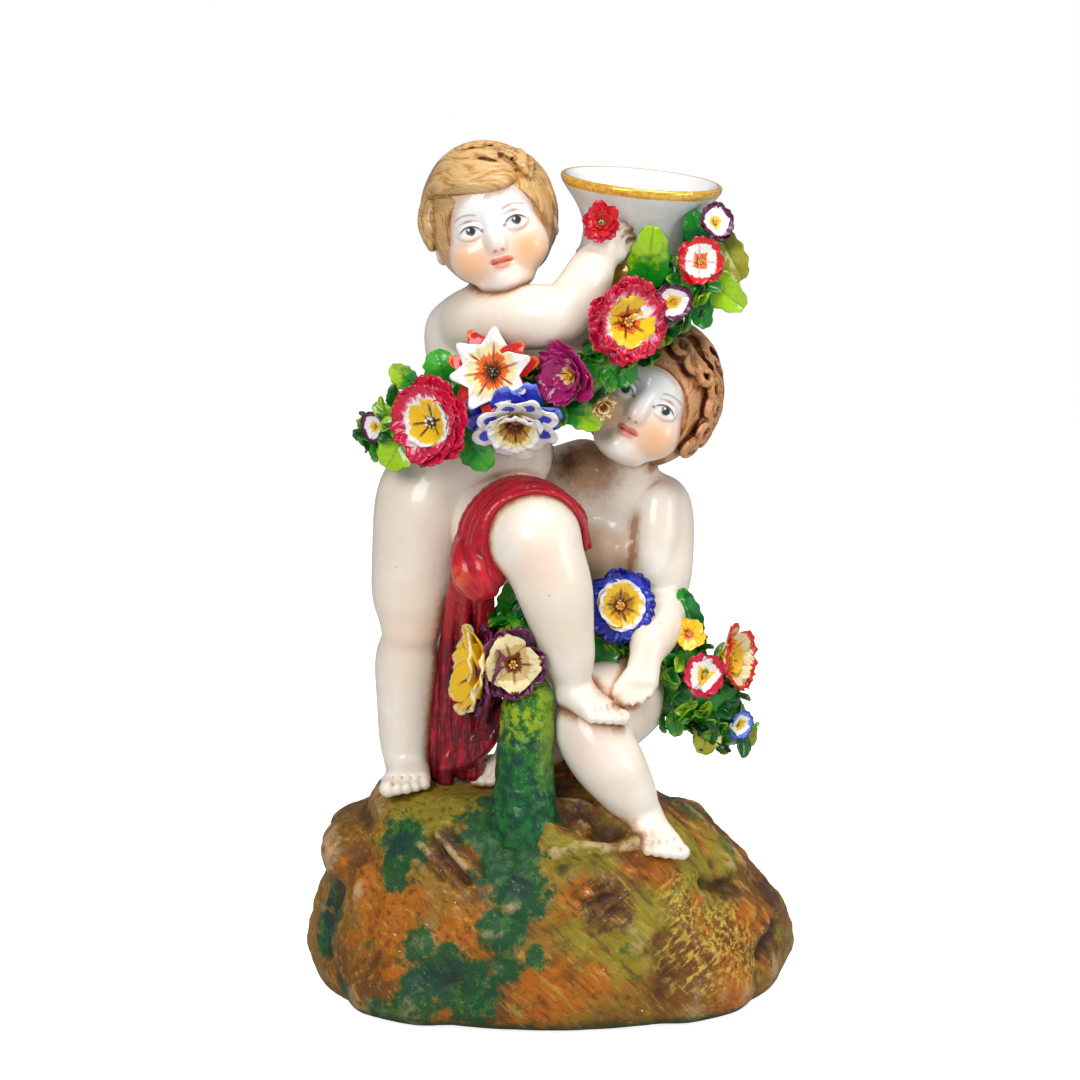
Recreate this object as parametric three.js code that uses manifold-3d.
// Figural candlestick of painted porcelain: a standing and a seated child with two flower
// garlands on a rocky mound, one of them holding up a candle cup.
// Millimetres, +Z up, the viewer on -Y, the origin at the middle of the foot.
import * as THREE from 'three';
import { LoftGeometry } from 'three/addons/geometries/LoftGeometry.js';
import { mergeVertices } from 'three/addons/utils/BufferGeometryUtils.js';
import Module from 'manifold-3d';

const wasm = await Module();
wasm.setup();

// Driving dimensions: joints between the pieces
const SEAM = 0.3;

// Driving dimensions: mound and stump
const MOUND_LENGTH = 138.5;
const MOUND_DEPTH = 100;
const MOUND_HEIGHT = 62;
const FOOT_SHARE = 0.9;
const FOOT_RING_WIDTH = 7;
const UNDERSIDE_RECESS = 2;
const ROCK_RELIEF = 2.4;
const SEAT_RISE = 10;
const COLLAR_RISE = 7;
const VENT_RADIUS = 3;
const VENT_DEPTH = 12;
const STUMP_RADIUS = 6.4;
const STUMP_HEIGHT = 30;

// Driving dimensions: candle cup
const CUP_HEIGHT = 40;
const CUP_RIM_RADIUS = 22.3;
const CUP_LIP = 1.2;
const CUP_WAIST_RADIUS = 14.4;
const CUP_BULGE_RADIUS = 16.4;
const CUP_STUB_RADIUS = 7;
const SOCKET_RADIUS = 11;
const SOCKET_FLOOR = 9;
const CUP_LEAN = 5.5;
const CUP_HOLD_HEIGHT = 127.6;

// Driving dimensions: the children
const HEAD_WIDTH = 33;
const HEAD_DEPTH = 36;
const HEAD_HEIGHT = 40;
const STANDING_HEAD_SCALE = 0.97;
const SEATED_HEAD_SCALE = 0.95;
const STANDING_HEAD_RISE = 156.4;
const SEATED_HEAD_RISE = 106;
const HAIR_THICKNESS = 2;
const CURL_RELIEF = 1.1;
const THIGH_RADIUS = 12.6;
const KNEE_RADIUS = 9.2;
const CALF_RADIUS = 8;
const ANKLE_RADIUS = 5.8;
const FOOT_HALF_WIDTH = 6.2;
const TOE_RADIUS = 1.7;
const ARM_RADIUS = 7;
const ELBOW_RADIUS = 6.1;
const WRIST_RADIUS = 4.2;
const FINGER_RADIUS = 1.5;

// Driving dimensions: cloth, garlands, leaves and flowers
const CLOTH_THICKNESS = 2.3;
const CLOTH_FOLD = 1.1;
const GARLAND_RADIUS = 6;
const GARLAND_SWELL = 9.2;
const LEAF_THICKNESS = 1.5;
const PETAL_THICKNESS = 1.3;
const PETAL_NOTCH = 0.16;

const vec = (x, y, z) => new THREE.Vector3(x, y, z);
const degrees = (d) => THREE.MathUtils.degToRad(d);

// Solids: a closed surface from three.js becomes a solid that can be joined and cut
function solidOf(geometry, tolerance = 1e-4) {
  const bare = new THREE.BufferGeometry();
  bare.setAttribute('position', geometry.getAttribute('position'));
  bare.setIndex(geometry.getIndex());
  const merged = mergeVertices(bare, tolerance);
  const triangles = [];
  const ids = merged.index.array;
  for (let i = 0; i < ids.length; i += 3) {
    const [a, b, c] = ids.slice(i, i + 3);
    if (a !== b && b !== c && c !== a) triangles.push(a, b, c);
  }
  return new wasm.Manifold(new wasm.Mesh({
    numProp: 3,
    vertProperties: merged.attributes.position.array,
    triVerts: new Uint32Array(triangles),
  }));
}

function geometryOf(solid) {
  const mesh = solid.getMesh();
  const positions = new Float32Array(mesh.numVert * 3);
  for (let i = 0; i < mesh.numVert; i += 1) {
    for (let k = 0; k < 3; k += 1) {
      positions[i * 3 + k] = mesh.vertProperties[i * mesh.numProp + k];
    }
  }
  const geometry = new THREE.BufferGeometry();
  geometry.setAttribute('position', new THREE.BufferAttribute(positions, 3));
  geometry.setIndex(new THREE.BufferAttribute(new Uint32Array(mesh.triVerts), 1));
  return geometry;
}

// Near points become one; triangles that fall flat or fold back on each other go
function welded(geometry, reach) {
  const place = geometry.attributes.position;
  const cells = new Map();
  const points = [];
  const cellOf = (v) => v.toArray().map((n) => Math.floor(n / reach));
  const near = (point) => {
    const [i, j, k] = cellOf(point);
    for (const dx of [-1, 0, 1]) {
      for (const dy of [-1, 0, 1]) {
        for (const dz of [-1, 0, 1]) {
          const cell = cells.get(`${i + dx},${j + dy},${k + dz}`) ?? [];
          const found = cell.find((id) => points[id].distanceTo(point) < reach);
          if (found !== undefined) return found;
        }
      }
    }
    return undefined;
  };
  const ids = Array.from({ length: place.count }, (_, i) => {
    const point = vec(place.getX(i), place.getY(i), place.getZ(i));
    const found = near(point);
    if (found !== undefined) return found;
    points.push(point);
    const key = cellOf(point).join();
    cells.set(key, [...(cells.get(key) ?? []), points.length - 1]);
    return points.length - 1;
  });
  const kept = new Map();
  const index = geometry.index.array;
  for (let i = 0; i < index.length; i += 3) {
    const t = [ids[index[i]], ids[index[i + 1]], ids[index[i + 2]]];
    if (t[0] === t[1] || t[1] === t[2] || t[2] === t[0]) continue;
    const key = t.slice().sort((m, n) => m - n).join();
    if (kept.has(key)) kept.delete(key);
    else kept.set(key, t);
  }
  return { points, triangles: [...kept.values()] };
}

// A flat triangle and its neighbour swap to the other diagonal of the patch they make
function unflattened({ points, triangles }, thin) {
  const height = ([a, b, c]) => {
    const [p, q, r] = [points[a], points[b], points[c]];
    const area = q.clone().sub(p).cross(r.clone().sub(p)).length();
    return area / Math.max(p.distanceTo(q), q.distanceTo(r), r.distanceTo(p));
  };
  const edges = new Map();
  const note = (t, id) => t.forEach((a, i) => edges.set(`${a},${t[(i + 1) % 3]}`, id));
  triangles.forEach(note);
  for (let pass = 0; pass < 3; pass += 1) {
    triangles.forEach((t, id) => {
      if (height(t) >= thin) return;
      const longest = [0, 1, 2].reduce((best, i) => {
        const span = (k) => points[t[k]].distanceTo(points[t[(k + 1) % 3]]);
        return span(i) > span(best) ? i : best;
      });
      const [a, b, c] = [0, 1, 2].map((k) => t[(longest + k) % 3]);
      const other = edges.get(`${b},${a}`);
      if (other === undefined) return;
      const d = triangles[other].find((k) => k !== a && k !== b);
      if (d === c || edges.has(`${c},${d}`) || edges.has(`${d},${c}`)) return;
      const pair = [[a, d, c], [d, b, c]];
      if (Math.min(...pair.map(height)) <= height(t)) return;
      edges.delete(`${a},${b}`);
      edges.delete(`${b},${a}`);
      [triangles[id], triangles[other]] = pair;
      note(pair[0], id);
      note(pair[1], other);
    });
  }
  return { points, triangles };
}

// Whether the surface touches itself along an edge, where it would no longer read as closed
function pinched(solid) {
  const counts = new Map();
  welded(geometryOf(solid), 1e-3).triangles.forEach((t) => t.forEach((a, i) => {
    const b = t[(i + 1) % 3];
    const key = a < b ? `${a},${b}` : `${b},${a}`;
    counts.set(key, (counts.get(key) ?? 0) + 1);
  }));
  return [...counts.values()].some((n) => n !== 2);
}

// Closes up the slivers that cuts leave, wherever the surface stays one closed body
function tidied(solid) {
  const { points, triangles } = unflattened(welded(geometryOf(solid), SEAM * 0.4), SEAM * 0.1);
  try {
    const clean = new wasm.Manifold(new wasm.Mesh({
      numProp: 3,
      vertProperties: new Float32Array(points.flatMap((point) => point.toArray())),
      triVerts: new Uint32Array(triangles.flat()),
    }));
    return clean.decompose().length === 1 && !pinched(clean) ? clean : solid;
  } catch {
    return solid;
  }
}

const joined = (...geometries) => geometries
  .map((geometry) => solidOf(geometry))
  .reduce((all, one) => all.add(one));

// The same solid grown by an even layer, for cutting its neighbours back by the seam
function swelled(solid, layer) {
  const geometry = geometryOf(solid);
  const points = geometry.attributes.position;
  const ids = geometry.index.array;
  const sums = Array.from({ length: points.count }, () => vec(0, 0, 0));
  const faces = Array.from({ length: points.count }, () => []);
  const at = (i) => vec(points.getX(i), points.getY(i), points.getZ(i));
  for (let i = 0; i < ids.length; i += 3) {
    const corners = [ids[i], ids[i + 1], ids[i + 2]];
    const [a, b, c] = corners.map(at);
    const normal = b.clone().sub(a).cross(c.clone().sub(a));
    const unit = normal.clone().normalize();
    corners.forEach((corner) => {
      sums[corner].add(normal);
      faces[corner].push(unit);
    });
  }
  for (let i = 0; i < points.count; i += 1) {
    const out = sums[i].normalize();
    const slope = Math.min(...faces[i].map((face) => face.dot(out)));
    const moved = at(i).addScaledVector(out, layer / Math.max(slope, 0.5));
    points.setXYZ(i, moved.x, moved.y, moved.z);
  }
  return solidOf(geometry);
}

// A limb: oval sections along a smooth curve, with a domed tip and, unless it is buried, root.
// Each station is [x, y, z, half width, half depth]; side points along the width.
function limb(stations, {
  side = vec(1, 0, 0), facets = 10, steps = 2, domes = [45], buried = false,
} = {}) {
  const along = new THREE.CatmullRomCurve3(stations.map((s) => vec(s[0], s[1], s[2])));
  const girth = new THREE.CatmullRomCurve3(stations.map((s) => vec(s[3], s[4] ?? s[3], 0)));
  const count = (stations.length - 1) * steps;
  const rings = [];
  const ring = (t, push, share) => {
    const tangent = along.getTangent(t);
    const wide = side.clone().addScaledVector(tangent, -side.dot(tangent)).normalize();
    const deep = tangent.clone().cross(wide);
    const size = girth.getPoint(t);
    const centre = along.getPoint(t).addScaledVector(tangent, push * Math.min(size.x, size.y));
    rings.push(Array.from({ length: facets }, (_, i) => {
      const angle = (i / facets) * Math.PI * 2;
      return centre.clone()
        .addScaledVector(wide, Math.cos(angle) * size.x * share)
        .addScaledVector(deep, Math.sin(angle) * size.y * share);
    }));
  };
  if (!buried) domes.forEach((d) => ring(0, -Math.sin(degrees(d)), Math.cos(degrees(d))));
  for (let i = 0; i <= count; i += 1) ring(i / count, 0, 1);
  domes.slice().reverse().forEach((d) => ring(1, Math.sin(degrees(d)), Math.cos(degrees(d))));
  return new LoftGeometry(rings, { closed: true, capStart: true, capEnd: true });
}

// A finger or a toe: a short round rod with domed ends
function digit(from, to, radius) {
  const stations = [[...from, radius], [...to, radius * 0.85]];
  const side = Math.abs(to[0] - from[0]) > Math.abs(to[1] - from[1]) ? vec(0, 1, 0) : vec(1, 0, 0);
  return limb(stations, { side, facets: 5, steps: 1, domes: [50], buried: true });
}

// Five toes side by side, the big one first; heel and ball are where the sole starts and ends
function foot(heel, ball, bigToeSide) {
  const along = vec(...ball).sub(vec(...heel)).normalize();
  const across = along.clone().cross(vec(0, 0, 1)).normalize().multiplyScalar(bigToeSide);
  const sole = limb([
    [...heel, ANKLE_RADIUS * 0.85, ANKLE_RADIUS * 0.8],
    [...vec(...heel).lerp(vec(...ball), 0.5).add(vec(0, 0, 0.8)), FOOT_HALF_WIDTH * 0.85, 4.6],
    [...ball, FOOT_HALF_WIDTH, 3],
  ], { side: across, facets: 8, steps: 1 });
  const toes = Array.from({ length: 5 }, (_, i) => {
    const place = FOOT_HALF_WIDTH * (0.72 - i * 0.36);
    const radius = TOE_RADIUS * (i === 0 ? 1.25 : 1 - i * 0.06);
    const root = vec(...ball).addScaledVector(across, place).add(vec(0, 0, -0.6));
    const reach = 5.2 - i * 0.55;
    return digit(root.toArray(), root.clone().addScaledVector(along, reach).toArray(), radius);
  });
  return [sole, ...toes];
}

// A hand: an oval palm with four fingers that bend towards curl, and a thumb
function hand(wrist, palm, across, curl) {
  const reach = vec(...palm).sub(vec(...wrist));
  const wide = vec(...across).normalize();
  const bend = vec(...curl).normalize();
  const body = limb([
    [...wrist, WRIST_RADIUS * 0.95, WRIST_RADIUS * 0.85],
    [...palm, WRIST_RADIUS * 1.25, WRIST_RADIUS * 0.75],
  ], { side: wide, facets: 8, steps: 1 });
  const ahead = reach.clone().normalize();
  const fingers = Array.from({ length: 4 }, (_, i) => {
    const root = vec(...palm).addScaledVector(wide, WRIST_RADIUS * (0.86 - i * 0.57))
      .addScaledVector(ahead, WRIST_RADIUS * 0.4);
    const tip = root.clone().addScaledVector(ahead, 4.6 - Math.abs(i - 1) * 0.7)
      .addScaledVector(bend, 2.6);
    return digit(root.toArray(), tip.toArray(), FINGER_RADIUS);
  });
  const thumbRoot = vec(...palm).addScaledVector(wide, WRIST_RADIUS * 1.1)
    .addScaledVector(ahead, -WRIST_RADIUS * 0.3);
  const thumbTip = thumbRoot.clone().addScaledVector(wide, 1.6)
    .addScaledVector(ahead, 3.2).addScaledVector(bend, 1.8);
  return [body, ...fingers, digit(thumbRoot.toArray(), thumbTip.toArray(), FINGER_RADIUS * 1.1)];
}

// Luting: each piece is cut back by the seam from every piece that was there before it
const group = new THREE.Group();
const placed = [];

function lute(name, solid, frame, paint) {
  const whole = tidied(solid.transform(frame.matrix.elements));
  const own = whole.boundingBox();
  const apart = ({ box }) => [0, 1, 2].some((k) => box.min[k] > own.max[k] || box.max[k] < own.min[k]);
  const neighbours = placed.filter((other) => !apart(other));
  const cutBack = (seam) => {
    const rest = neighbours.reduce((shape, other) => (
      shape.subtract(seam === SEAM ? other.grown : swelled(other.whole, seam))
    ), whole);
    return tidied(rest.decompose().sort((a, b) => b.volume() - a.volume())[0]);
  };
  let shape = cutBack(SEAM);
  for (let wider = 1.2; wider < 2 && pinched(shape); wider += 0.2) shape = cutBack(SEAM * wider);
  const grown = swelled(whole, SEAM);
  placed.push({ whole, grown, box: grown.boundingBox() });
  const geometry = geometryOf(shape).applyMatrix4(frame.matrix.clone().invert());
  const material = new THREE.MeshStandardMaterial({
    color: paint, roughness: 0.18, metalness: 0,
  });
  const mesh = new THREE.Mesh(geometry, material);
  mesh.name = name;
  mesh.applyMatrix4(frame.matrix);
  group.add(mesh);
}

// A place in the object: a point, and turns about the upright, the front and the side axis
function frameAt(x, y, z, { yaw = 0, roll = 0, pitch = 0, scale = 1 } = {}) {
  const frame = new THREE.Object3D();
  frame.position.set(x, y, z);
  const turn = (axis, angle) => new THREE.Quaternion().setFromAxisAngle(axis, degrees(angle));
  frame.quaternion.copy(turn(vec(0, 1, 0), roll))
    .multiply(turn(vec(0, 0, 1), yaw))
    .multiply(turn(vec(1, 0, 0), pitch));
  frame.scale.setScalar(scale);
  frame.updateMatrix();
  return frame;
}

// A place whose +Z looks along a direction, turned by spin about it
function frameFacing(at, facing, spin = 0) {
  const frame = new THREE.Object3D();
  frame.position.set(...at);
  frame.quaternion.setFromUnitVectors(vec(0, 0, 1), vec(...facing).normalize());
  frame.rotateZ(degrees(spin));
  frame.updateMatrix();
  return frame;
}

// Glaze and enamel colours
const SKIN = 0xf2e9e2;
const WHITE = 0xf0eff0;
const ROCK = 0x8a6a2c;
const MOSS = 0x3f7a2a;
const BLOND = 0xc79a58;
const AUBURN = 0xb37645;
const CRIMSON = 0xa3122c;
const GREEN = 0x2f8a34;

// Mound: a turned profile drawn out to an oval, then roughened like rock
// Each row is a share of the radius, a share of the height, and 1 where the foot ring stands in
const MOUND_FACETS = 34;
const MOUND_UNDERSIDE_ROWS = 4;
const moundProfile = [
  [0, 0, 0], [FOOT_SHARE, 0, 1], [FOOT_SHARE, 0, 1], [FOOT_SHARE, 0, 0], [0.97, 0.08, 0],
  [1, 0.2, 0], [0.99, 0.34, 0], [0.95, 0.52, 0], [0.9, 0.67, 0], [0.84, 0.81, 0],
  [0.75, 0.92, 0], [0.62, 0.99, 0], [0.4, 1, 0], [0.18, 1, 0], [0, 1, 0],
];

// Where the top rises to the seat and round the stump, and falls away to the sides and the front
function rockHeight(x, y) {
  const seat = SEAT_RISE * Math.exp(-(((x - 14) / 20) ** 2) - (((y - 14) / 16) ** 2));
  const collar = COLLAR_RISE * Math.exp(-(((x + 5) / 11) ** 2) - (((y + 37) / 8) ** 2));
  const right = -22 * THREE.MathUtils.smoothstep(x, 24, 66);
  const left = -3 * THREE.MathUtils.smoothstep(-x, 44, 60);
  const front = -5 * THREE.MathUtils.smoothstep(-y, 26, 46);
  return seat + collar + right + left + front;
}

function moundGeometry() {
  const rows = moundProfile.length;
  const points = moundProfile.map(([share]) => new THREE.Vector2(share, 0));
  const geometry = new THREE.LatheGeometry(points, MOUND_FACETS);
  const place = geometry.attributes.position;
  for (let i = 0; i < place.count; i += 1) {
    const row = i % rows;
    const turn = Math.floor(i / rows) / MOUND_FACETS * Math.PI * 2;
    const [share, rise, inner] = moundProfile[row];
    const lump = Math.sin(turn * 5 + 0.6 + rise * 2) * 0.5 + Math.sin(turn * 8 + rise * 7) * 0.35
      + Math.sin(turn * 13 - rise * 9) * 0.25;
    const rough = row > MOUND_UNDERSIDE_ROWS && row < rows - 1 ? ROCK_RELIEF * lump : 0;
    const x = Math.cos(turn) * (share * MOUND_LENGTH / 2 - inner * FOOT_RING_WIDTH + rough * share);
    const y = Math.sin(turn) * (share * MOUND_DEPTH / 2 - inner * FOOT_RING_WIDTH + rough * share);
    const stone = rise > 0.5 ? 0.5 * ROCK_RELIEF * Math.sin(x * 0.23) * Math.cos(y * 0.27 + 1) : 0;
    const top = rise * (MOUND_HEIGHT + rockHeight(x, y) * Math.min(1, rise * 1.1)) + stone;
    const underside = row < 2 ? UNDERSIDE_RECESS : 0;
    place.setXYZ(i, x, y, row < MOUND_UNDERSIDE_ROWS ? underside : top);
  }
  geometry.computeBoundingBox();
  const middle = geometry.boundingBox.getCenter(vec(0, 0, 0));
  const spread = geometry.boundingBox.getSize(vec(0, 0, 0));
  return geometry.translate(-middle.x, -middle.y, 0)
    .scale(MOUND_LENGTH / spread.x, MOUND_DEPTH / spread.y, 1);
}

const vent = new THREE.CylinderGeometry(VENT_RADIUS, VENT_RADIUS, VENT_DEPTH * 2, 16)
  .rotateX(Math.PI / 2);
lute('base_mound', solidOf(moundGeometry()).subtract(solidOf(vent)), frameAt(0, 0, 0), ROCK);

// Everything else stands on the mound, at heights above its top
const onMound = (x, y, z, turns) => frameAt(x, y, z + MOUND_HEIGHT, turns);
const standing = onMound(0, 0, 0);

lute('tree_stump', solidOf(limb([
  [-4, -32, -14, STUMP_RADIUS * 1.7, STUMP_RADIUS * 1.2],
  [-4.6, -31.5, -4, STUMP_RADIUS * 1.3, STUMP_RADIUS * 1.1],
  [-6, -30.5, STUMP_HEIGHT * 0.3, STUMP_RADIUS * 1.05, STUMP_RADIUS],
  [-7.3, -29.5, STUMP_HEIGHT * 0.7, STUMP_RADIUS * 0.95, STUMP_RADIUS * 0.95],
  [-8.2, -28.6, STUMP_HEIGHT, STUMP_RADIUS * 1.05, STUMP_RADIUS],
], { domes: [30] })), standing, MOSS);

// Candle cup: turned in one piece, round its own leaning axis
const cupProfile = [
  [0, 0], [CUP_STUB_RADIUS, 0], [CUP_STUB_RADIUS + 1, 2.4],
  [CUP_BULGE_RADIUS * 0.8, CUP_HEIGHT * 0.2], [CUP_BULGE_RADIUS, CUP_HEIGHT * 0.35],
  [CUP_BULGE_RADIUS * 0.985, CUP_HEIGHT * 0.43], [CUP_WAIST_RADIUS, CUP_HEIGHT * 0.54],
  [CUP_WAIST_RADIUS, CUP_HEIGHT * 0.63],
  [CUP_WAIST_RADIUS * 0.4 + CUP_RIM_RADIUS * 0.6, CUP_HEIGHT * 0.84],
  [CUP_RIM_RADIUS, CUP_HEIGHT - CUP_LIP * 1.2], [CUP_RIM_RADIUS, CUP_HEIGHT - CUP_LIP * 0.2],
  [CUP_RIM_RADIUS - CUP_LIP, CUP_HEIGHT],
  [CUP_RIM_RADIUS - CUP_LIP * 2.4, CUP_HEIGHT - CUP_LIP * 1.5],
  [SOCKET_RADIUS * 0.55 + CUP_RIM_RADIUS * 0.35, CUP_HEIGHT * 0.78],
  [SOCKET_RADIUS, CUP_HEIGHT * 0.64], [SOCKET_RADIUS, SOCKET_FLOOR], [0, SOCKET_FLOOR],
].map(([r, h]) => new THREE.Vector2(r, h));
const cup = new THREE.LatheGeometry(cupProfile, 20).rotateX(Math.PI / 2);
lute('candle_cup', solidOf(cup), onMound(21.1, 4, CUP_HOLD_HEIGHT, { roll: CUP_LEAN }), WHITE);

// Bodies: pelvis, belly, chest, shoulders and neck in one loft
lute('standing_torso', solidOf(limb([
  [-25, 2, 67, 15, 12], [-23.5, 3, 77, 22, 15], [-21, 0, 90, 21.2, 15.4],
  [-18, 0.5, 108, 17.8, 13], [-15.4, 1.5, 122, 17, 11], [-14.2, 2, 130.5, 14, 8.6],
  [-14.6, -1, 137, 8.2, 8], [-15.2, -3, 144, 7.2, 7.2],
], { facets: 12 })), standing, SKIN);
lute('seated_torso', solidOf(limb([
  [14.2, 14, 14, 12, 10], [14.5, 13, 25, 15.5, 13.3], [16, 9.8, 39, 14.6, 12.8],
  [18.4, 10.3, 58, 15.5, 11.5], [18.8, 10.8, 72, 15.8, 9.4], [20, 10, 81, 12, 8.2],
  [22.6, 5.5, 88, 7.6, 7.4], [23.4, 3.5, 94.5, 6.8, 6.8],
], { facets: 12 })), standing, SKIN);

// Legs and feet
const legGirth = [THIGH_RADIUS, THIGH_RADIUS * 0.94, KNEE_RADIUS, CALF_RADIUS, ANKLE_RADIUS];
const leg = (joints) => limb(joints.map((at, i) => [...at, legGirth[i]]), { facets: 8 });
lute('standing_right_leg', joined(
  leg([[-33.5, 0, 80], [-36, -2.5, 65], [-38.3, -6.5, 46], [-39.6, -3.8, 30], [-40, -5, 9.5]]),
  ...foot([-39.8, -3.5, 4.4], [-39.8, -16.5, 2.8], 1),
), standing, SKIN);
lute('seated_left_leg', joined(
  leg([[21, 9, 23], [15.5, -10, 22.6], [10.4, -26, 19], [16.4, -28, 10], [23.2, -27.4, -1.5]]),
  ...foot([24.8, -26.5, -5.6], [29.6, -34.5, -10.4], -1),
), standing, SKIN);
lute('seated_right_leg', joined(
  leg([[8, 10, 22], [1, -1, 19], [-3, -8.5, 15], [-5.5, -9, 12], [-8, -8.5, 8.5]]),
  ...foot([-8.5, -8.5, 6.4], [-14, -13, 3.4], 1),
), standing, SKIN);
lute('standing_left_leg', joined(
  leg([[-15, -2, 72.5], [-8.5, -17, 73], [-3.4, -29.5, 71.4], [1.6, -30, 57], [5.5, -27.4, 37]]),
  ...foot([5.6, -25.5, 30.4], [13, -33, 26.8], -1),
), standing, SKIN);

// Arms and hands
const armGirth = [ARM_RADIUS, ARM_RADIUS * 0.97, ELBOW_RADIUS, ELBOW_RADIUS * 0.9, WRIST_RADIUS];
const arm = (joints) => limb(
  joints.map((at, i) => [...at, armGirth[i]]),
  { side: vec(0, 1, 0.3).normalize(), facets: 8 },
);
lute('standing_left_arm', joined(
  arm([[-3, 4, 129], [4, 10, 127], [12, 14, 126], [18, 13, 127], [22, 10, 128]]),
  ...hand([21, 10.5, 128], [25, 5, 129], [0.6, 0.6, 0], [0, -0.2, 1]),
), standing, SKIN);
lute('seated_left_arm', joined(
  arm([[30.5, 8.8, 74.5], [31.2, 6, 64], [31.4, 1, 51], [29.6, -9.5, 44], [27, -17.5, 41]]),
  ...hand([26.4, -19, 40], [24.6, -24.4, 34], [-0.9, -0.35, 0.1], [-0.6, -0.75, -0.2]),
), standing, SKIN);
lute('seated_right_arm', joined(
  arm([[9.5, 12.5, 83], [2.5, 18, 81.5], [-5, 21.8, 80.5], [-11.5, 21.5, 84], [-17, 20, 89]]),
  ...hand([-17.6, 19.6, 89.6], [-20.6, 18, 94.6], [1, 0, 0.3], [0, -1, 0.2]),
), standing, SKIN);
lute('standing_right_arm', joined(
  arm([[-23, -2, 128.5], [-12, -17, 131.5], [3.5, -22.2, 133.6], [9, -20.8, 140.6], [12, -18.2, 147]]),
  ...hand([12.2, -18, 147.8], [16, -16.6, 152.4], [-0.55, -0.3, 0.8], [0.5, 0.85, -0.1]),
), standing, SKIN);

// Heads: a rounded skull that narrows to the chin, with the features in a child's proportions
function skull(thickness) {
  const geometry = new THREE.SphereGeometry(1, 14, 10).rotateX(Math.PI / 2);
  const place = geometry.attributes.position;
  for (let i = 0; i < place.count; i += 1) {
    const [x, y, z] = [place.getX(i), place.getY(i), place.getZ(i)];
    const cheek = 0.06 * Math.exp(-(((Math.abs(x) - 0.5) / 0.3) ** 2) - (((z + 0.36) / 0.3) ** 2));
    const chin = 0.1 * Math.exp(-((x / 0.3) ** 2) - (((z + 0.82) / 0.2) ** 2));
    const jaw = 1 - 0.2 * THREE.MathUtils.smoothstep(-z, 0.25, 1);
    const flat = y < 0 ? 0.94 + cheek + chin : 1;
    place.setXYZ(
      i,
      x * jaw * (HEAD_WIDTH / 2 + thickness),
      y * flat * (HEAD_DEPTH / 2 + thickness),
      z * (HEAD_HEIGHT / 2 + thickness),
    );
  }
  return geometry;
}

function headSolid() {
  const front = -HEAD_DEPTH * 0.47;
  const small = { facets: 6, steps: 1 };
  const nose = limb([
    [0, front + 0.6, HEAD_HEIGHT * -0.02, 1.5], [0, front - 1, HEAD_HEIGHT * -0.13, 2.1],
  ], small);
  const ears = [-1, 1].map((side) => limb([
    [side * HEAD_WIDTH * 0.49, 1.5, HEAD_HEIGHT * 0.03, 1.3, 2.4],
    [side * HEAD_WIDTH * 0.47, 1, HEAD_HEIGHT * -0.13, 1.1, 1.8],
  ], small));
  const lip = (z, half) => limb([
    [-half, front + 2.6, z, 0.9], [0, front + 1.4, z, 1.2], [half, front + 2.6, z, 0.9],
  ], { side: vec(0, 0, 1), ...small });
  const lips = [lip(HEAD_HEIGHT * -0.235, 3), lip(HEAD_HEIGHT * -0.27, 2.4)];
  return joined(skull(0), nose, ...ears, ...lips);
}

// Hair: a shell round the skull with curls, open over the face
function hairSolid(parting) {
  const shell = skull(HAIR_THICKNESS);
  const place = shell.attributes.position;
  for (let i = 0; i < place.count; i += 1) {
    const at = vec(place.getX(i), place.getY(i), place.getZ(i));
    const curl = Math.sin(at.x * 0.55 + parting) * Math.cos(at.z * 0.5)
      + 0.6 * Math.sin(at.y * 0.6 + at.z * 0.45 + parting);
    at.multiplyScalar(1 + (CURL_RELIEF * (0.5 + curl)) / HEAD_HEIGHT * 2);
    place.setXYZ(i, at.x, at.y, at.z);
  }
  const face = new THREE.SphereGeometry(1, 12, 7)
    .scale(HEAD_WIDTH * 0.56, HEAD_DEPTH * 0.9, HEAD_HEIGHT * 0.62)
    .translate(0, -HEAD_DEPTH * 0.62, -HEAD_HEIGHT * 0.2);
  const neck = new THREE.CylinderGeometry(HEAD_WIDTH * 0.45, HEAD_WIDTH * 0.7, 20, 10)
    .rotateX(Math.PI / 2).translate(0, -2, -HEAD_HEIGHT * 0.52);
  const forelock = limb([
    [5, -HEAD_DEPTH * 0.35, HEAD_HEIGHT * 0.41, 2.4], [-2, -HEAD_DEPTH * 0.38, HEAD_HEIGHT * 0.39, 2.8],
    [-8, -HEAD_DEPTH * 0.34, HEAD_HEIGHT * 0.36, 2.4],
  ], { side: vec(0, 0, 1), facets: 6, steps: 1 });
  return solidOf(shell).subtract(solidOf(face)).subtract(solidOf(neck)).add(solidOf(forelock));
}

const standingHead = onMound(-16, -4, STANDING_HEAD_RISE, {
  roll: -14.5, yaw: 2, pitch: -10, scale: STANDING_HEAD_SCALE,
});
const seatedHead = onMound(26.6, 1, SEATED_HEAD_RISE, {
  roll: 28, yaw: -9, pitch: -13, scale: SEATED_HEAD_SCALE,
});
lute('standing_head', headSolid(), standingHead, SKIN);
lute('seated_head', headSolid(), seatedHead, SKIN);
lute('standing_hair', hairSolid(0.4), standingHead, BLOND);
lute('seated_hair', hairSolid(1.9), seatedHead, AUBURN);

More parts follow.
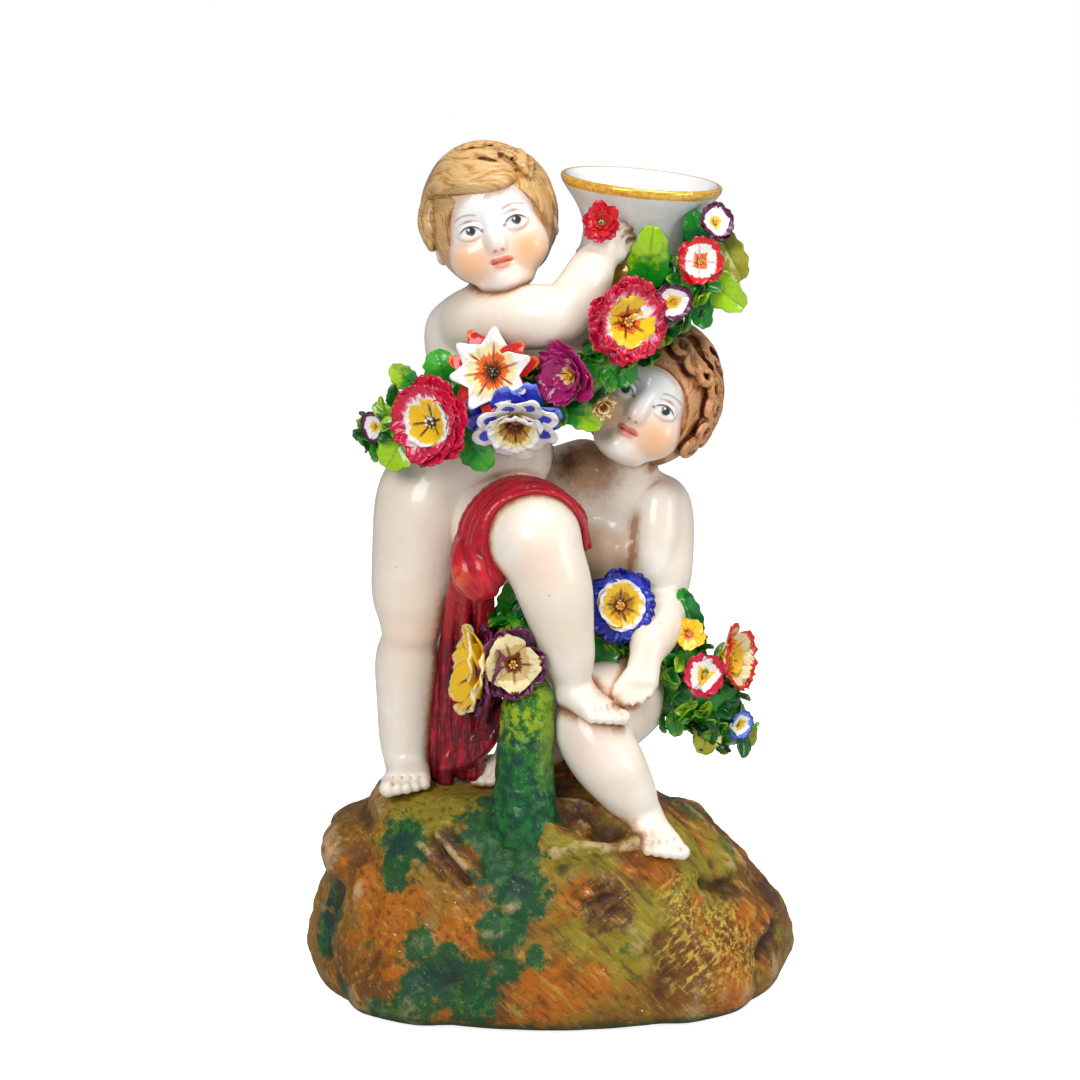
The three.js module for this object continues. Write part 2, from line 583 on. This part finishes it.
// Cloth: a band with pleats along it, swept on a curve; each station gives its half width
function cloth(stations, side, pleats) {
  const along = new THREE.CatmullRomCurve3(stations.map((s) => vec(s[0], s[1], s[2])));
  const count = (stations.length - 1) * 2;
  const facets = pleats * 5 + 2;
  const rings = Array.from({ length: count + 1 }, (_, j) => {
    const t = j / count;
    const spot = t * (stations.length - 1);
    const low = Math.min(Math.floor(spot), stations.length - 2);
    const half = THREE.MathUtils.lerp(stations[low][3], stations[low + 1][3], spot - low);
    const tangent = along.getTangent(t);
    const wide = side.clone().addScaledVector(tangent, -side.dot(tangent)).normalize();
    const deep = tangent.clone().cross(wide);
    return Array.from({ length: facets }, (_, i) => {
      const angle = (i / facets) * Math.PI * 2;
      const across = Math.cos(angle) * half;
      const fold = CLOTH_FOLD * Math.sin((across / half) * Math.PI * pleats + t * 2);
      return along.getPoint(t)
        .addScaledVector(wide, across)
        .addScaledVector(deep, Math.sin(angle) * CLOTH_THICKNESS + fold * Math.abs(Math.sin(angle)));
    });
  });
  return new LoftGeometry(rings, { closed: true, capStart: true, capEnd: true });
}

lute('hip_drapery', joined(
  cloth([
    [9.8, -17, 69.5, 3.4], [7.5, -19.5, 78, 4.2], [1.7, -21.5, 84.4, 4.8], [-6.3, -22.5, 85.6, 5],
    [-14, -23.5, 81.6, 5.4], [-20.4, -24, 73, 6], [-22.5, -26, 65, 5.4], [-19.5, -28.5, 59.5, 4],
  ], vec(-0.3, 1, 0), 2),
  limb([[-22, -27, 67, 4.6], [-20, -28.8, 62, 5.8], [-18.2, -28.5, 57.5, 4]], { facets: 8 }),
), standing, CRIMSON);
lute('falling_drapery', solidOf(cloth([
  [-20.5, -24, 60, 5], [-22.5, -17, 51, 7.4], [-23.5, -12, 36, 8.4], [-23.5, -10, 19, 9.4],
  [-23.5, -10.5, 2.5, 10],
], vec(1, 0, 0), 3)), standing, CRIMSON);

// Garlands: ropes of foliage with a lumpy surface
function garland(points) {
  const rope = limb(points.map(([x, y, z, girth = GARLAND_RADIUS], i) => (
    [x, y, z, girth * (i % 2 ? 1.06 : 0.94)])), {
    side: vec(0, 0, 1), facets: 7,
  });
  const place = rope.attributes.position;
  for (let i = 0; i < place.count; i += 1) {
    const [x, y, z] = [place.getX(i), place.getY(i), place.getZ(i)];
    const bump = 0.7 * Math.sin(x * 0.9 + y * 0.5) * Math.cos(z * 0.8 + y * 0.6);
    place.setXYZ(i, x + bump, y - bump, z + bump);
  }
  return solidOf(rope);
}

lute('upper_garland', garland([
  [-47, -1, 96], [-43, -12, 100], [-32, -17, 107], [-19, -19, 110], [-6, -20, 111.5],
  [7, -20, 115], [19, -19, 124], [30, -14, 133], [38, -7, 142], [40.5, -5, 151],
]), standing, GREEN);
lute('lower_garland', garland([
  [-12, -25, 35], [-9, -19, 47], [2, -8, 50], [14, -7.5, 46.5], [27, -4, 39.5],
  [35, -3, 33, GARLAND_SWELL * 0.9], [42, -2, 25.5, GARLAND_SWELL],
  [47.5, -1, 19, GARLAND_SWELL * 0.92], [50.5, 0, 14.5, GARLAND_SWELL * 0.7],
]), standing, GREEN);

// Flowers: a cupped, scalloped corolla with a raised centre and a calyx that is stuck on.
// petals is the number of lobes, depth how far the cup is hollowed, as a share of its radius.
function blossom(radius, petals, depth) {
  const outline = [
    [0, -0.3], [0.45, -0.16], [1, 1], [0.93, 1.25], [0.4, 0.16], [0, 0.34],
  ];
  const profile = outline.map(([r]) => new THREE.Vector2(r * radius, 0));
  const segments = petals * (radius > 9 ? 3 : 2);
  const geometry = new THREE.LatheGeometry(profile, segments).rotateX(Math.PI / 2);
  const place = geometry.attributes.position;
  for (let i = 0; i < place.count; i += 1) {
    const [share, level] = outline[i % outline.length];
    const turn = Math.floor(i / outline.length) / segments * Math.PI * 2;
    const lobe = Math.abs(Math.sin((turn * petals) / 2));
    const reach = radius * share * (1 - PETAL_NOTCH * (1 - lobe) * share * 2);
    const lift = level < 0 ? level * radius : level * depth * radius;
    const layer = i % outline.length > 2 ? PETAL_THICKNESS : 0;
    const wave = share > 0.9 ? 0.06 * radius * Math.cos(turn * petals) : 0;
    place.setXYZ(i, Math.cos(turn) * reach, Math.sin(turn) * reach, lift + layer + wave);
  }
  return solidOf(geometry);
}

// name, place above the mound top, facing, radius, lobes, depth, colour
const flowers = [
  ['flower_crimson_left', [-31, -27, 107], [-0.35, -1, 0.05], 12, 8, 0.32, 0xb8163a],
  ['flower_cream_star', [-15.3, -27.5, 121], [0, -1, 0.25], 12.6, 6, 0.3, 0xf0e4c4],
  ['flower_white_blue', [-8.5, -26.5, 106.5], [0.05, -1, -0.5], 12, 8, 0.35, 0xe8ecf4],
  ['flower_magenta', [4.2, -28, 119], [0.3, -0.9, -0.15], 9.3, 6, 0.35, 0xa2185e],
  ['flower_crimson_large', [20.6, -25.5, 133], [0.1, -1, 0.1], 12, 8, 0.32, 0xc01a48],
  ['flower_red_on_hand', [13.6, -21, 158], [-0.1, -1, 0.15], 5.9, 6, 0.3, 0xc02228],
  ['flower_purple_small', [32.6, -19, 137.3], [0.15, -1, 0], 5.8, 6, 0.3, 0x7a2a78],
  ['flower_red_white', [40.5, -14, 147.4], [0.3, -1, 0.1], 6.7, 6, 0.3, 0xd42a34],
  ['flower_purple_top', [44.6, -9, 157.4], [0.4, -0.9, 0.3], 5.8, 6, 0.3, 0x6a2a80],
  ['flower_blue_rim', [18.5, -12.5, 51.4], [0.05, -1, 0.2], 9.8, 8, 0.34, 0x2a3fae],
  ['flower_cream_purple', [-9.8, -33, 39.5], [0.1, -1, 0.05], 9.8, 5, 0.34, 0xf0e2a0],
  ['flower_yellow_side', [-18.5, -27, 38], [-0.9, -0.5, 0], 9.8, 6, 0.34, 0xe6c840],
  ['flower_yellow_small', [38.2, -9.5, 43], [0.2, -0.9, 0.4], 5.2, 5, 0.3, 0xf0c020],
  ['flower_pink_white', [42.6, -10.5, 31.5], [0.2, -1, 0.05], 6.3, 6, 0.3, 0xd8304e],
  ['flower_red_side', [49.6, -4.3, 33.4], [0.9, -0.45, 0.1], 9.2, 6, 0.34, 0xcc2430],
  ['flower_blue_small', [53.5, -6, 16.5], [0.8, -0.6, 0], 4.3, 5, 0.3, 0x4a64b8],
  ['flower_violet_end', [-47.5, -13.5, 102], [-0.8, -0.6, 0], 4.8, 5, 0.3, 0x5a2a68],
  ['flower_buds_amber', [14, -25.5, 109.5], [0.2, -1, -0.3], 4.2, 5, 0.3, 0xb98a2a],
];
flowers.forEach(([name, [x, y, z], facing, radius, petals, depth, paint]) => {
  lute(name, blossom(radius, petals, depth), frameFacing([x, y, z + MOUND_HEIGHT], facing), paint);
});

// Leaves: a pointed blade, folded a little along its midrib; +X is its length, +Z its face
function leafSolid(length, halfWidth) {
  const rings = Array.from({ length: 6 }, (_, j) => {
    const t = j / 5;
    const half = 0.5 + halfWidth * Math.sin(Math.PI * Math.min(1, 0.12 + t * 0.88) ** 0.85);
    const arch = 0.14 * length * Math.sin(t * Math.PI);
    return Array.from({ length: 6 }, (_, i) => {
      const angle = (i / 6) * Math.PI * 2;
      const across = Math.cos(angle) * half;
      const fold = 0.35 * Math.abs(across);
      return vec(length * (t - 0.5), across, arch + fold + Math.sin(angle) * LEAF_THICKNESS / 2);
    });
  });
  return solidOf(new LoftGeometry(rings, { closed: true, capStart: true, capEnd: true }));
}

// name, place above the mound top, way it points, length, half width, colour
const leaves = [
  ['leaf_left_top', [-29.4, -19.6, 119.6], [-0.35, 0, 0.9], 15, 4.8, 0x1f9a3a],
  ['leaf_left_lime', [-39.4, -17.5, 116], [-0.8, 0.1, 0.5], 13, 4, 0x8cc63a],
  ['leaf_left_low', [-41.6, -19, 97], [-0.55, -0.1, -0.8], 14.5, 5.6, 0x7cc82a],
  ['leaf_middle_low', [-20.6, -23.5, 97], [0.5, -0.1, -0.7], 14.5, 4.6, 0x3aa032],
  ['leaf_middle_green', [8, -24, 107.2], [0.7, -0.1, -0.6], 14, 4, 0x2c8c3c],
  ['leaf_dark_right', [17.8, -22, 120], [0.5, -0.1, -0.6], 14, 5.3, 0x14683a],
  ['leaf_cup_large', [26.6, -14, 147.6], [0.1, -0.22, 1], 18.5, 5.8, 0x2fb03a],
  ['leaf_cup_emerald', [40, -11, 156], [-0.2, -0.1, 1], 12, 4.1, 0x168a50],
  ['leaf_right_lime', [46, -9, 138.6], [0.7, -0.1, -0.6], 18.5, 4.9, 0x9ccc2c],
  ['leaf_right_olive', [48.6, -4.5, 147], [0.6, 0, -0.6], 16.5, 4.2, 0x8a8a2c],
  ['leaf_right_dark', [40, -13, 134.6], [0.35, -0.1, -0.9], 13.5, 3.8, 0x1c7034],
  ['leaf_lap_left', [-10.2, -20, 52.8], [0.05, -0.1, 1], 15.5, 4.8, 0x2f9a3a],
  ['leaf_lap_middle', [14.4, -13.5, 37.2], [0, -0.2, -1], 14.2, 4.7, 0x4c9a34],
  ['leaf_lap_right', [38.6, -5.5, 47.4], [-0.35, 0, 1], 16, 3.6, 0x2c8a34],
  ['leaf_end_olive', [44, -9, 13.5], [-0.3, -0.2, -0.9], 14.5, 4.4, 0x6f7f2a],
  ['leaf_end_brown', [55, 0.5, 12.8], [0.5, 0, -0.85], 14, 4.1, 0x6a5a2a],
];
leaves.forEach(([name, [x, y, z], points, length, halfWidth, paint]) => {
  const frame = new THREE.Object3D();
  const ahead = vec(...points).normalize();
  const up = vec(0, -1, 0.15).addScaledVector(ahead, -vec(0, -1, 0.15).dot(ahead)).normalize();
  frame.quaternion.setFromRotationMatrix(
    new THREE.Matrix4().makeBasis(ahead, up.clone().cross(ahead), up),
  );
  frame.position.set(x, y, z + MOUND_HEIGHT);
  frame.updateMatrix();
  lute(name, leafSolid(length, halfWidth), frame, paint);
});

export default group;
